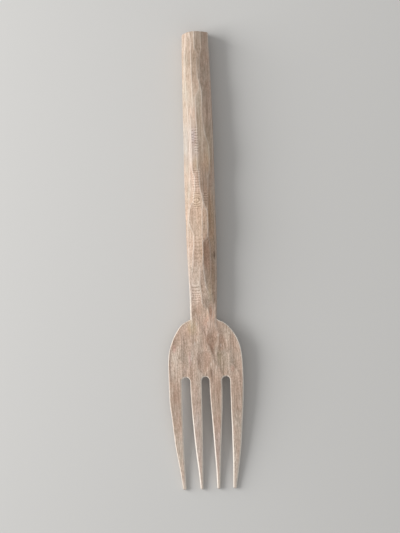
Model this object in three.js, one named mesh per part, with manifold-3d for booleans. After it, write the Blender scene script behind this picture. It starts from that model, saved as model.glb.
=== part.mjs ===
// A pasta fork, carved by hand from one billet of pale fruitwood.
//
// Millimetres, +Z up. +Y runs along the fork to the end of the handle and +X to its right.
// The fork lies on a flat under the handle and on its points. The origin is on that surface,
// under the middle of the fork's length.

import * as THREE from "three";
import { TessellateModifier } from "three/addons/modifiers/TessellateModifier.js";
import { mergeVertices } from "three/addons/utils/BufferGeometryUtils.js";
import Module from "manifold-3d";

// Lengths along the fork
const handleLength = 189; // end of the handle to the shoulders
const headLength = 38; // shoulders to the roots of the slots
const tineLength = 73; // roots of the slots to the points

// Handle, measured across its flats
const endWidth = 17.3;
const bellyWidth = 19.6;
const neckWidth = 17.4;
const endThickness = 15.2;
const bellyThickness = 17.5;
const neckThickness = 9.4;
const bellyAt = 95; // end of the handle to its thickest place
const endChamfer = 1.8;
const handleSides = 8;

// The flat that the fork lies on, and the hollow between that flat and the points
const restLength = 140; // end of the handle to where its underside starts to rise
const archHeight = 4.6; // underside of the shoulders above the surface

// Head and tines
const tineCount = 4;
const outerTineWidth = 8.5; // at the roots of the slots
const innerTineWidth = 7.4;
const slotWidth = 5.75;
const tipWidth = 2.2;
const tipGap = 9; // between neighbouring points
const tineSwell = 34; // a tine keeps its width for about this far below its root
const shoulderThickness = 7.2;
const tipThickness = 2.8;
const edgeChamfer = 0.8;

// The shoulder leaves the neck sideways for one reach and turns down into the head over the other
const shoulderReach = 9.6;
const shoulderFall = 24.5;
const shoulderSlope = 3.5; // drop over the sideways reach
const shoulderTuck = 2.5; // the head's outline starts this far inside the neck

// The handle runs out in a low ridge on top of the head
const ridgeLength = 31;
const ridgeTipWidth = 5;
const ridgeTipSink = 0.5; // the ridge ends this far under the head's surface

// Knife facets along the handle's corners and gouge cuts across the head
const facetPitch = 26;
const facetLength = 44;
const facetDepth = 0.9; // taken off a corner of the handle at the middle of a facet
const facetRunOut = 0.2; // the knife's clearance over the corner at both ends of a facet
const facetHeadroom = 5; // the knife block's height over the corner
const facetSwing = 8; // degrees that neighbouring facets are turned to either side
const gougeDepth = 0.4;
const gougeWidth = 7.5;
const gougeLength = 17;
const gougeStart = 20; // shoulders to the middle of the first row
const gougeMargin = 3; // kept clear at the edge and above the slots

// How finely curves are divided
const handleRings = 18;
const ridgeRings = 4;
const outlineDivisions = 10;
const plateStep = 11; // longest edge of a triangle on the head
const plateRounds = 40; // enough to halve every longer edge
const facetDivisions = 6;
const gougeSegments = 16;

// Sizes that follow
const headToTips = headLength + tineLength;
const totalLength = handleLength + headToTips;
const endY = totalLength / 2;
const shoulderY = endY - handleLength;
const rootY = shoulderY - headLength;
const tipY = rootY - tineLength;
const slotCount = tineCount - 1;
const slotPitch = innerTineWidth + slotWidth;
const headWidth = 2 * outerTineWidth + (tineCount - 2) * innerTineWidth + slotCount * slotWidth;
const tipPitch = tipWidth + tipGap;
const rootRadius = slotWidth / 2;
const tipRadius = tipWidth / 2;
const chamfer = Math.min(edgeChamfer, 0.6 * tipRadius, 0.3 * tipThickness);

const { clamp, lerp, smoothstep, degToRad } = THREE.MathUtils;
const wasm = await Module();
wasm.setup();

// Solids: a closed three.js geometry becomes a solid to cut and join, and comes back as a geometry.
function toSolid(geometry) {
  const bare = geometry.clone();
  bare.deleteAttribute("normal");
  bare.deleteAttribute("uv");
  const merged = mergeVertices(bare, 1e-4);
  return new wasm.Manifold(
    new wasm.Mesh({
      numProp: 3,
      vertProperties: new Float32Array(merged.attributes.position.array),
      triVerts: new Uint32Array(merged.index.array),
    }),
  );
}

function toGeometry(solid) {
  const mesh = solid.getMesh();
  const geometry = new THREE.BufferGeometry();
  geometry.setAttribute("position", new THREE.BufferAttribute(mesh.vertProperties, 3));
  geometry.setIndex(new THREE.BufferAttribute(mesh.triVerts, 1));
  const faceted = geometry.toNonIndexed();
  faceted.computeVertexNormals();
  return faceted;
}

// Moves every vertex of a geometry: place(point) changes the point that it is given.
function reshape(geometry, place) {
  const at = geometry.attributes.position;
  const point = new THREE.Vector3();
  for (let i = 0; i < at.count; i++) {
    point.fromBufferAttribute(at, i);
    place(point);
    at.setXYZ(i, point.x, point.y, point.z);
  }
  return geometry;
}

// The side view of the head, by the distance below the shoulders
function headUnderside(below) {
  return archHeight * (1 - (below / headToTips) ** 2);
}

function headThickness(below) {
  return lerp(shoulderThickness, tipThickness, below / headToTips);
}

function headTop(below) {
  return headUnderside(below) + headThickness(below);
}

// A size that swells from the handle's end to its belly and draws in again to the neck
function barrel(along, atEnd, atBelly, atNeck) {
  if (along < bellyAt) return atBelly - (atBelly - atEnd) * (1 - along / bellyAt) ** 2;
  return atBelly - (atBelly - atNeck) * ((along - bellyAt) / (handleLength - bellyAt)) ** 2;
}

// The handle's cross-section at a distance from its end, and the ridge's beyond the shoulders
function handleSection(along) {
  if (along > handleLength) {
    const below = along - handleLength;
    const run = below / ridgeLength;
    const neck = handleSection(handleLength);
    const ridgeTip = headTop(ridgeLength) - ridgeTipSink;
    return {
      width: lerp(neck.width, ridgeTipWidth, run),
      bottom: headUnderside(below) + chamfer,
      top: lerp(neck.top, ridgeTip, run),
    };
  }
  const inset = 2 * Math.max(0, endChamfer - along);
  const bottom = archHeight * smoothstep(along, restLength, handleLength);
  const neckTop = archHeight + neckThickness;
  return {
    width: barrel(along, endWidth, bellyWidth, neckWidth) - inset,
    bottom: bottom + inset / 2,
    top: barrel(along, endThickness, bellyThickness, neckTop) - inset / 2,
  };
}

// A barrel with flats all round, lofted along the handle and on into the head
function makeHandle() {
  const stations = [0, endChamfer];
  for (let i = 1; i <= handleRings; i++) stations.push(lerp(endChamfer, handleLength, i / handleRings));
  for (let i = 1; i <= ridgeRings; i++) stations.push(handleLength + (ridgeLength * i) / ridgeRings);
  const spans = stations.length - 1;
  const acrossCorners = 1 / Math.cos(Math.PI / handleSides);
  const turn = Math.PI / handleSides;
  const blank = new THREE.CylinderGeometry(acrossCorners, acrossCorners, spans, handleSides, spans, false, turn);
  return toSolid(
    reshape(blank, (point) => {
      const along = stations[Math.round(spans / 2 - point.y)];
      const { width, bottom, top } = handleSection(along);
      point.x *= width / 2;
      point.y = endY - along;
      point.z = lerp(bottom, top, (point.z + 1) / 2);
    }),
  );
}

// Half a slot's or tine's place across the head, counted from the left
function slotX(slot) {
  return (slot - (slotCount - 1) / 2) * slotPitch;
}

function tipX(tine) {
  return (tine - (tineCount - 1) / 2) * tipPitch;
}

// The head seen from above: shoulders, tines with round points and slots with round roots
function headOutline() {
  const half = headWidth / 2;
  const neckHalf = neckWidth / 2;
  const insideNeck = neckHalf - shoulderTuck;
  const startY = shoulderY + shoulderTuck;
  const swellY = rootY - tineSwell;
  const turnY = tipY + tipRadius;
  const wallY = rootY - rootRadius;

  const outline = new THREE.Shape();
  outline.moveTo(-insideNeck, startY);
  outline.lineTo(-neckHalf, shoulderY);
  const turnOut = neckHalf + shoulderReach;
  const turnDown = rootY + shoulderFall;
  outline.bezierCurveTo(-turnOut, shoulderY - shoulderSlope, -half, turnDown, -half, rootY);
  for (let tine = 0; tine < tineCount; tine++) {
    const first = tine === 0;
    const last = tine === tineCount - 1;
    const leftRoot = first ? -half : slotX(tine - 1) + rootRadius;
    const rightRoot = last ? half : slotX(tine) - rootRadius;
    const point = tipX(tine);
    outline.quadraticCurveTo(leftRoot, swellY, point - tipRadius, turnY);
    outline.absarc(point, turnY, tipRadius, Math.PI, 2 * Math.PI, false);
    outline.quadraticCurveTo(rightRoot, swellY, rightRoot, last ? rootY : wallY);
    if (!last) outline.absarc(slotX(tine), wallY, rootRadius, Math.PI, 0, true);
  }
  outline.bezierCurveTo(half, turnDown, turnOut, shoulderY - shoulderSlope, neckHalf, shoulderY);
  outline.lineTo(insideNeck, startY);
  return outline;
}

// The outline as a plate with eased edges, thinned to the points and arched along its length
function makeHead() {
  const plateDepth = shoulderThickness - 2 * chamfer;
  const plate = new THREE.ExtrudeGeometry(headOutline(), {
    depth: plateDepth,
    curveSegments: outlineDivisions,
    bevelThickness: chamfer,
    bevelSize: chamfer,
    bevelOffset: -chamfer,
    bevelSegments: 1,
  });
  const divided = new TessellateModifier(plateStep, plateRounds).modify(plate);
  return toSolid(
    reshape(divided, (point) => {
      const below = shoulderY - point.y;
      const under = headUnderside(Math.max(0, below));
      const thick = headThickness(Math.max(0, below));
      const fromBack = point.z + chamfer;
      const fromFront = plateDepth + chamfer - point.z;
      const upWall = clamp((fromBack - chamfer) / plateDepth, 0, 1);
      const wall = lerp(chamfer, thick - chamfer, upWall);
      point.z = under + wall + Math.min(0, fromBack - chamfer) - Math.min(0, fromFront - chamfer);
    }),
  );
}

// One knife cut on the handle: a block with a bowed sole, so that the facet runs out at both ends.
// Roll is the way it faces, round from straight up.
function knifeCut(along, roll) {
  const { width, bottom, top } = handleSection(along);
  const reach = Math.hypot((width / 2) * Math.sin(roll), ((top - bottom) / 2) * Math.cos(roll));
  const corner = reach / Math.cos(Math.PI / handleSides);
  const half = facetLength / 2;
  const sole = new THREE.Shape();
  sole.moveTo(-half, facetHeadroom);
  sole.lineTo(-half, facetRunOut);
  sole.quadraticCurveTo(0, -2 * facetDepth - facetRunOut, half, facetRunOut);
  sole.lineTo(half, facetHeadroom);
  const block = new THREE.ExtrudeGeometry(sole, {
    depth: bellyWidth,
    curveSegments: facetDivisions,
    bevelEnabled: false,
  });
  block.translate(0, 0, -bellyWidth / 2);
  const [across, lengthwise, outward] = [0, 1, 2].map((axis) => new THREE.Vector3().setComponent(axis, 1));
  block.applyMatrix4(new THREE.Matrix4().makeBasis(lengthwise, outward, across));
  block.translate(0, 0, corner);
  block.rotateY(roll);
  block.translate(0, endY - along, (bottom + top) / 2);
  return toSolid(block);
}

// Cuts along every corner above the flat that the fork lies on
function knifeCuts() {
  const cuts = [];
  const cornerStep = (2 * Math.PI) / handleSides;
  const corners = handleSides - 2;
  const first = endChamfer + facetLength / 4;
  const last = handleLength - 0.7 * facetLength;
  for (let corner = 0; corner < corners; corner++) {
    const stagger = corner % 2 ? facetPitch / 2 : 0;
    let swing = corner % 2 ? 1 : -1;
    for (let along = first + stagger; along <= last; along += facetPitch) {
      const roll = (corner - (corners - 1) / 2) * cornerStep + swing * degToRad(facetSwing);
      cuts.push(knifeCut(along, roll));
      swing = -swing;
    }
  }
  return cuts;
}

// One shallow hollow, a flat ellipsoid that dips into the head's face by the gouge's depth
function gougeCut(x, below) {
  const height = 3 * gougeDepth;
  const across = Math.sqrt((gougeWidth ** 2 / (8 * gougeDepth)) * height);
  const along = Math.sqrt((gougeLength ** 2 / (8 * gougeDepth)) * height);
  const gouge = new THREE.SphereGeometry(1, gougeSegments, gougeSegments / 2);
  gouge.scale(across, along, height);
  gouge.translate(x, shoulderY - below, headTop(below) - gougeDepth + height);
  return toSolid(gouge);
}

// Staggered hollows beside the ridge, between the shoulders and the slots
function gougeCuts() {
  const cuts = [];
  const half = gougeWidth / 2;
  const widest = headWidth / 2 - half - gougeMargin;
  let stagger = 0;
  for (let below = gougeStart; below <= headLength - gougeMargin; below += gougeLength / 2) {
    const ridgeHalf = handleSection(handleLength + Math.min(below, ridgeLength)).width / 2;
    for (let x = ridgeHalf + half + stagger; x <= widest; x += gougeWidth) {
      for (const side of [-1, 1]) cuts.push(gougeCut(side * x, below));
    }
    stagger = half - stagger;
  }
  return cuts;
}

let fork = makeHead().add(makeHandle());
for (const cut of [...knifeCuts(), ...gougeCuts()]) fork = fork.subtract(cut);

const wood = new THREE.MeshStandardMaterial({ color: 0xc6a48b, roughness: 0.62, metalness: 0 });
const carvedFork = new THREE.Mesh(toGeometry(fork), wood);
carvedFork.name = "carved_fork";

const pastaFork = new THREE.Group();
pastaFork.add(carvedFork);

export default pastaFork;
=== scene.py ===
import math
import bpy
import numpy as np
from mathutils import Matrix, Vector, kdtree


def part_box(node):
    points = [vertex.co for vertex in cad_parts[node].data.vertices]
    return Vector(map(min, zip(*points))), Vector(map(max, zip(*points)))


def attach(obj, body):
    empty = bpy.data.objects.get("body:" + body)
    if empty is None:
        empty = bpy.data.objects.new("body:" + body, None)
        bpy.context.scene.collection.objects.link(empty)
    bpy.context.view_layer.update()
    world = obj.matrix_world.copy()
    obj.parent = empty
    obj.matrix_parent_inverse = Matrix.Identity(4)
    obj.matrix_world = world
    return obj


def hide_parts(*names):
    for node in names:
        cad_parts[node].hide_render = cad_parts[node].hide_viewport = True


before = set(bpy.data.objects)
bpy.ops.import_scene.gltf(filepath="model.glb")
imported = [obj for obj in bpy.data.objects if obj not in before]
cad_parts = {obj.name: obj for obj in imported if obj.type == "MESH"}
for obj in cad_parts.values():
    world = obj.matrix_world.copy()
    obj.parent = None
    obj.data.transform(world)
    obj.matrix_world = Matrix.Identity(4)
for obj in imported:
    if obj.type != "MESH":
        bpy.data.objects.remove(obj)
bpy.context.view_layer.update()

# Everything is worked out in millimetres and turned into metres at the end.
# "along" runs from the end of the handle (0) to the points, x to the right, z up.
mm = 0.001
low, high = [np.array(corner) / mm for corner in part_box("carved_fork")]
forkLength = high[1] - low[1]
endY = high[1]


# Small helpers for objects, curves and soft joins
scene = bpy.context.scene


def addObject(name, data):
    obj = bpy.data.objects.new(name, data)
    scene.collection.objects.link(obj)
    return obj


def smoothThrough(points, at):  # a smooth curve through (along, value) points
    knots, values = np.array(points, float).T
    rates = np.diff(values) / np.diff(knots)
    before, after = rates[:-1], rates[1:]
    steady = 2 * before * after / np.where(before * after > 0, before + after, 1)
    slopes = np.concatenate([rates[:1], np.where(before * after > 0, steady, 0), rates[-1:]])
    at = np.asarray(at, float)
    i = np.clip(np.searchsorted(knots, at, side="right") - 1, 0, len(knots) - 2)
    span = knots[i + 1] - knots[i]
    t = np.clip((at - knots[i]) / span, 0, 1)
    start = values[i] * (1 + 2 * t) + slopes[i] * span * t
    stop = values[i + 1] * (3 - 2 * t) + slopes[i + 1] * span * (t - 1)
    return start * (1 - t) ** 2 + stop * t ** 2


def easeStep(start, stop, at):
    t = np.clip((at - start) / (stop - start), 0, 1)
    return t * t * (3 - 2 * t)


def softMin(a, b, width):  # the lower of two surfaces, with the crease rounded
    h = np.clip(0.5 + 0.5 * (b - a) / width, 0, 1)
    return b * (1 - h) + a * h - width * h * (1 - h)


def softMax(a, b, width):
    return -softMin(-a, -b, width)


def softBend(u, width):  # 0 before a crease and u after it
    return width * np.logaddexp(0, u / width)


# Plan of the fork: where its edges lie, as (along, x)
plan = {
    "shoulder": 188,
    "root": 225.8,
    "leftEdge": [
        (0, -8.55), (6, -8.7), (19, -9.05), (45, -9.4), (71, -9.6), (98, -9.97), (124, -9.87),
        (137, -9.79), (150, -9.5), (163, -9.16), (176, -8.95), (182, -9), (187, -9), (188, -9.25),
        (189.3, -11.6), (190.1, -13.2), (192, -15.5), (195.3, -17.9), (199.5, -20.3), (203.8, -22.1),
        (208.4, -23.45), (212.2, -24.1), (217.6, -24.45), (227, -24.5), (240.6, -24.4), (253.7, -23.2),
        (269.4, -21.75), (280, -20.2), (290.5, -18.6), (296, -17.9), (300, -17.5)],
    "rightEdge": [
        (0, 8.6), (6, 8.65), (19, 9.05), (45, 9.5), (71, 9.85), (98, 9.7), (124, 9.7), (137, 9.72),
        (150, 9.4), (163, 9.15), (176, 8.7), (182, 8.4), (187.4, 8.15), (188.4, 8.4), (189.2, 10),
        (190, 11.9), (192, 14.6), (194.9, 17.3), (198.4, 19.7), (202.2, 21.6), (206.1, 22.9),
        (209.5, 23.6), (213, 24), (217.6, 24.25), (227, 24.45), (242.2, 23.95), (255.3, 22.95),
        (270.9, 21.75), (281.3, 20.5), (291.7, 18.95), (297, 18), (300, 17.7)],
    "slots": [
        {"centre": -13.3, "radius": 2.85,
         "left": [(250, -16.2), (270, -16.1), (285, -15.8), (300, -15.2)],
         "right": [(240, -10.25), (250, -9.85), (258, -9.4), (268, -8.75), (277, -8), (287, -7),
                   (300, -5.9)]},
        {"centre": -0.45, "radius": 2.65,
         "left": [(245, -3.2), (260, -3.4), (272, -3.65), (285, -3.9), (300, -4.25)],
         "right": [(240, 2.4), (252, 3), (262, 3.5), (275, 4.1), (285, 4.6), (300, 5.05)]},
        {"centre": 13.05, "radius": 2.7,
         "left": [(245, 10.1), (255, 9.5), (265, 8.85), (275, 8.15), (288, 7.4), (300, 6.9)],
         "right": [(250, 15.75), (262, 15.9), (280, 15.9), (300, 15.5)]},
    ],
    "straight": 6,  # the slots start with straight walls
    "tipRound": 1.1,
}


def slotEdges(slot, along):  # x of both sides of a slot below its root
    radius = slot["radius"]
    spring = plan["root"] + radius
    rise = np.clip((spring - along) / radius, 0, 1)
    arc = radius * np.sqrt(1 - rise ** 2)
    sides = []
    for name, sign in (("left", -1), ("right", 1)):
        start = slot["centre"] + sign * radius
        wall = smoothThrough([(spring, start), (spring + plan["straight"], start)] + slot[name], along)
        sides.append(np.where(along < spring, slot["centre"] + sign * arc, wall))
    return sides


def outerEdges(along):
    return smoothThrough(plan["leftEdge"], along), smoothThrough(plan["rightEdge"], along)


# Side view: heights along the middle of the fork
side = {
    "crest": [(0, 15), (40, 16.6), (95, 17.45), (130, 17), (150, 16.1), (165, 14.9), (178, 13.2),
              (189, 12.25)],
    "belly": [(0, 0), (120, 0), (138, 0), (150, 0.35), (165, 1.7), (178, 3.6), (189, 4.6)],
    "headTop": [(189, 11.2), (200, 11.1), (214, 10.6), (227, 9.9), (250, 8.2), (275, 5.5), (300, 2.8)],
    "headBack": [(189, 4.6), (210, 4.5), (227, 4.1), (250, 3.2), (275, 1.7), (300, 0)],
    "shoulderRamp": 1.2,  # how steeply the head's faces run out into the neck
    "crown": 0.0013,  # the face falls away to both sides
    "backCrown": 0.0022,
    "spineLeft": [(189, -8.9), (193, -9.2), (199, -9.4), (206, -9.5), (216, -9.5)],
    "spineRight": [(189, 6.2), (193, 7.6), (197, 8.6), (203, 8.9), (208, 7.8), (216, 6.6)],
    "spineRise": [(189, 0.6), (194, 0.42), (200, 0.25), (206, 0.08), (214, -0.2), (230, -1.5)],
    "spineFlanks": (0.2, -0.32),
    "spineRounds": (0.15, 0.12),
    "neckEdge": 187,  # the handle's left edge is read up to here,
    "neckEnd": 189,  # and its facets up to here
    "backFlat": 290,  # where the crown of the back has died away
}

# Handle: long knife facets on the upper side, from the left edge to the right.
# A slope line gives a facet's fall across the handle, (along, rise per mm), and a ridge line (along, x)
# parts it from the next; two ridges that run together close the facet between them.
facets = {
    "slopes": [
        [(0, 1.4), (100, 1.5), (139.5, 1.3), (164.5, 1), (188, 0.7)],
        [(0, 0.75), (8, 0.6), (14, 0.42), (28, 0.5), (33, 0.65), (45, 0.63), (54, 0.64), (60, 0.95),
         (64, 1.05), (92, 1), (110, 0.95), (118, 0.85), (126, 0.7), (135, 0.56), (156, 0.5), (188, 0.5)],
        [(0, 0.4), (113, 0.35), (119.5, 0.25), (130.5, 0.25), (133.5, 0.55), (149.5, 0.55), (156.5, 0.42),
         (165.5, 0.4), (171.5, 0.16), (179, 0.1), (184, -0.04), (188, 0)],
        [(0, 0.25), (8, 0.2), (12, 0.1), (16, -0.08), (28, -0.05), (31, 0.05), (38, 0.12), (44, 0.3),
         (50, 0.37), (58, 0.3), (64, 0.24), (84, 0.2), (92, 0.1), (98, 0.1), (104, 0.28), (112, 0.3),
         (131.5, 0.3), (137.5, 0.25), (141.5, 0.08), (147.5, 0.1), (153.5, 0.15), (157.5, 0.3),
         (165.5, 0.32), (171.5, 0.38), (177.5, 0.2), (181, -0.02), (185, 0.05), (188, 0.05)],
        [(0, -0.3), (10, -0.27), (15, -0.1), (34, -0.05), (44, -0.02), (50, -0.07), (84, -0.1),
         (88, -0.22), (100, -0.28), (106, -0.12), (118, -0.05), (131.5, -0.03), (135.5, -0.1),
         (149.5, -0.05), (171.5, -0.05), (176.5, -0.2), (180, -0.32), (185, -0.34), (188, -0.28)],
        [(0, -0.22), (14, -0.24), (30, -0.3), (44, -0.36), (58, -0.3), (64, -0.2), (84, -0.2), (90, -0.3),
         (104, -0.38), (133.5, -0.36), (137.5, -0.45), (149.5, -0.45), (155.5, -0.36), (165.5, -0.34),
         (169.5, -0.26), (175.5, -0.22), (179, -0.14), (183, -0.06), (188, -0.05)],
        [(0, -0.6), (60, -0.62), (100, -0.72), (139.5, -0.72), (164.5, -0.6), (177.5, -0.4), (188, -0.3)],
        [(0, -2), (188, -1.6)],
    ],
    "ridges": [
        [(0, -6), (10, -6.6), (20, -7.4), (35, -7.3), (50, -6.6), (58, -6.1), (66, -5.6), (84, -5.7),
         (95, -6.5), (113, -7.6), (119.5, -8.3), (140.5, -8.9), (164.5, -8.6), (176.5, -8.2), (188, -8.2)],
        [(0, -3.9), (6, -3), (11, -2.8), (15, -3.1), (27, -3.15), (45, -2.9), (52, -3.5), (57, -4.5),
         (84, -4.7), (91, -4.6), (95, -3.3), (102, -3.3), (106, -4), (110, -4.4), (112, -5), (113, -6.2),
         (116, -7.1), (119, -7.5), (124.5, -7.9), (127, -7.3), (130, -6.1), (133, -5.15), (140.5, -5.35),
         (143.5, -5.85), (150.5, -6.25), (156.5, -6.75), (162.5, -7.05), (168, -7.6), (174.5, -8.2),
         (188, -8.2)],
        [(0, -3.9), (6, -3), (11, -2.8), (15, -3.1), (27, -3.15), (45, -2.9), (52, -3.4), (57, -4.4),
         (84, -4.6), (91, -4.5), (95, -3.2), (102, -3.2), (106, -3.9), (110, -4.3), (112, -4.8),
         (115, -5), (126.5, -5), (140.5, -5.2), (143.5, -5.7), (150.5, -6.1), (156.5, -6.6),
         (162.5, -6.9), (171.5, -5.9), (179, -5.7), (188, -5.3)],
        [(0, -0.6), (11, -0.65), (13, 0.3), (15, 1.1), (18, 0.9), (22, 0.5), (28, 0.6), (34, 1.6),
         (37, 1.9), (40, 0.5), (43.5, -1), (57, -1.2), (61, -0.8), (78, -0.9), (84, -1.1), (89.5, -1.1),
         (92.5, -0.4), (99.5, -0.1), (104, 0.35), (106, 0.8), (110.5, 1.5), (113.5, 1.6), (117, 0.9),
         (127.5, 0.8), (132.5, 0.4), (137.5, 0.4), (146, 0.4), (150, -0.1), (153.5, -1.4), (158.5, -1.8),
         (163.5, -2.1), (169.5, -1.6), (174.5, -1.1), (177.5, -1), (179, 0.2), (180.5, 1.6), (182, 2.6),
         (184, 3.1), (188, 3.5)],
        [(0, -0.55), (11, -0.6), (13, 0.4), (15, 1.25), (18, 1), (22, 0.6), (28, 0.7), (34, 1.8),
         (37, 2.6), (40, 3.15), (46, 3.15), (52, 2.9), (58, 3), (62, 2.6), (80, 2.6), (92, 2.2),
         (97, 1.9), (105, 1.8), (110.5, 1.9), (114, 2.6), (116.5, 4), (119, 4.4), (127.5, 4.4),
         (131.5, 4.2), (135, 3.4), (136.5, 1.8), (137.5, 0.65), (146, 0.6), (151.5, 0.4), (158, 0.9),
         (162, 1.3), (167, 2), (169, 2.9), (171, 3.4), (174.5, 4), (177.5, 4.6), (179.5, 5.6), (183, 5.8),
         (186, 5.3), (188, 5)],
        [(0, 3.6), (12, 3.6), (16, 2.6), (22, 2.4), (30, 2.1), (34, 2.2), (37, 2.7), (40, 3.2), (46, 3.2),
         (52, 3), (58, 3.4), (61, 3.6), (65, 4.1), (70, 5.2), (74, 6.4), (76, 6.8), (90, 6.8), (95, 5.6),
         (100, 5.3), (113, 4.9), (119, 4.6), (127.5, 4.6), (133.5, 4.3), (138.5, 5.3), (150.5, 5.5),
         (164.5, 5.2), (170.5, 5.3), (175.5, 6), (179, 7.1), (188, 7)],
        [(0, 8.2), (45, 8.8), (71, 9.2), (98, 8.9), (123.5, 9), (150.5, 8.7), (169.5, 8.3), (188, 7.6)],
    ],
    "ridgeRound": 0.09,
    # how pale each ridge line is: partly worn wood, partly a painted highlight along the crest
    "ridgeWearAndHighlight": [0.3, 0.35, 0.5, 0.45, 0.65, 0.35, 0.3],
    "ridgeWearAndHighlightWidth": 0.3,
    "bendFull": 0.4,  # a ridge that bends this much or more gets its full pale line, worn wood and painted highlight
    "neckRimWearAndHighlight": 0.5,  # the pale rim on the left of the neck, where the bevel faces the lamp: partly worn, partly painted highlight
    "rimFrom": (145, 176),
    "rimUntil": (187.5, 189),
    "rimWidth": (0.5, 0.95),
}

# Underside of the handle: a broad flat to lie on, with wandering facets beside it
underside = {
    "slopes": [-2, -0.95, -0.45, 0, 0.45, 0.95, 2],
    "ridges": [-8.7, -6.3, -3.9, 3.9, 6.3, 8.7],
    "swing": 0.7,  # how far the ridges wander
    "pitch": 47,
    "step": 0.37,  # turns from one ridge to the next
    "beat": 0.061,  # a slower wave on top
    "taper": 0.07,  # the ridges draw in on both sides of the belly
    "taperMiddle": 95,
    "taperLength": 60,
    "depth": [(0, 0.9), (140, 1), (165, 0.75), (180, 0.3), (189, 0.1)],
    "ridgeRound": 0.14,
}


def facetChain(x, edge, slopes, ridges, roundness):  # a folded strip with height 0 at the edge
    height = slopes[0] * (x - edge)
    for ridge, before, after in zip(ridges, slopes, slopes[1:]):
        height = height + (after - before) * softBend(x - ridge, roundness)
    return height


def handleLines(along):  # the handle's left edge, and where its facets are read
    edge = outerEdges(np.minimum(along, side["neckEdge"]))[0]
    return edge, np.minimum(along, side["neckEnd"])


def handleTop(x, along):  # with how pale each point is: worn wood, and painted highlights along the ridges and the neck rim
    edge, at = handleLines(along)
    ridges = [smoothThrough(line, at) for line in facets["ridges"]]
    slopes = [smoothThrough(line, at) for line in facets["slopes"]]
    chain = [slopes, ridges, facets["ridgeRound"]]
    crest = np.max([facetChain(ridge, edge, *chain) for ridge in ridges], axis=0)
    height = smoothThrough(side["crest"], at) + facetChain(x, edge, *chain) - crest
    bends = np.abs(np.diff(slopes, axis=0)) / facets["bendFull"]
    # a pale line along each ridge, partly wear and partly painted highlight, fuller where the ridge bends
    # more
    near = [share * np.minimum(1, bend) * np.exp(-((x - ridge) / facets["ridgeWearAndHighlightWidth"]) ** 2)
            for share, bend, ridge in zip(facets["ridgeWearAndHighlight"], bends, ridges)]
    # the pale neck rim on the lit left bevel: partly wear, partly painted highlight
    onNeck = easeStep(*facets["rimFrom"], along) * (1 - easeStep(*facets["rimUntil"], along))
    paleRim = facets["neckRimWearAndHighlight"] * onNeck * (1 - easeStep(*facets["rimWidth"], x - edge))
    return height, np.maximum(np.max(near, axis=0), paleRim)


def handleBottom(x, along):
    edge, at = handleLines(along)
    swell = np.cos((at - underside["taperMiddle"]) / underside["taperLength"])
    ridges = []
    for number, middle in enumerate(underside["ridges"]):
        turns = at / underside["pitch"] + underside["step"] * number
        wander = np.sin(2 * np.pi * turns) * np.sin(underside["beat"] * at + number)
        ridges.append(middle * (1 - underside["taper"] * (1 - swell)) + underside["swing"] * wander)
    chain = [underside["slopes"], ridges, underside["ridgeRound"]]
    flat = np.min([facetChain(ridge, edge, *chain) for ridge in ridges], axis=0)
    depth = smoothThrough(underside["depth"], at)
    return smoothThrough(side["belly"], at) + depth * (facetChain(x, edge, *chain) - flat)


def plateTop(x, along):  # the plain face of the head
    return smoothThrough(side["headTop"], along) - side["crown"] * x ** 2


def headTop(x, along):  # the same, dropping away above the shoulders
    return plateTop(x, along) + side["shoulderRamp"] * np.minimum(0, along - plan["shoulder"])


def headBack(x, along):
    rampUp = side["shoulderRamp"] * np.maximum(0, plan["shoulder"] - along)
    fade = 1 - easeStep(plan["root"], side["backFlat"], along)
    return smoothThrough(side["headBack"], along) + side["backCrown"] * fade * x ** 2 + rampUp


def spineTop(x, along):  # the handle's ridge, running out on the head
    left = smoothThrough(side["spineLeft"], along)
    right = smoothThrough(side["spineRight"], along)
    up, down = side["spineFlanks"]
    leftRound, rightRound = side["spineRounds"]
    height = plateTop(0 * x, along) + smoothThrough(side["spineRise"], along)
    return height - up * softBend(left - x, leftRound) + down * softBend(x - right, rightRound)


# Gouge cuts on the head and its back
plainCut = {
    "floor": 0.5,  # where across its width a cut is deepest
    "rise": 0.9,  # how much of the depth its right side climbs back
    "entry": 4,  # length over which it sets in
    "fade": 3,  # how far it runs out past its right edge
    "rim": 0.05,  # how pale that edge is: partly wear, partly painted highlight
}
gouge = {
    "rimWidth": 0.35,
    "exit": 2.5,
    "narrowing": 0.6,  # cuts get shallower where they narrow
    # where the darker tone inside a cut sets in and runs out; that tone is partly painted shade in the
    # hollow
    "toneLeft": (-0.2, 0.5),
    "toneRight": (-0.5, 3),
    "toneExit": 2,
}


# A cut's edges are given as (along, left, right), or apart as (along, x); "deep" is its depth, and "tone"
# a factor on the colour inside, partly the wood's own colour and partly painted shade in the hollow
def carve(edges=(), **settings):
    left = [(along, x) for along, x, _ in edges]
    right = [(along, x) for along, _, x in edges]
    return {**plainCut, "left": left, "right": right, **settings}


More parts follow.
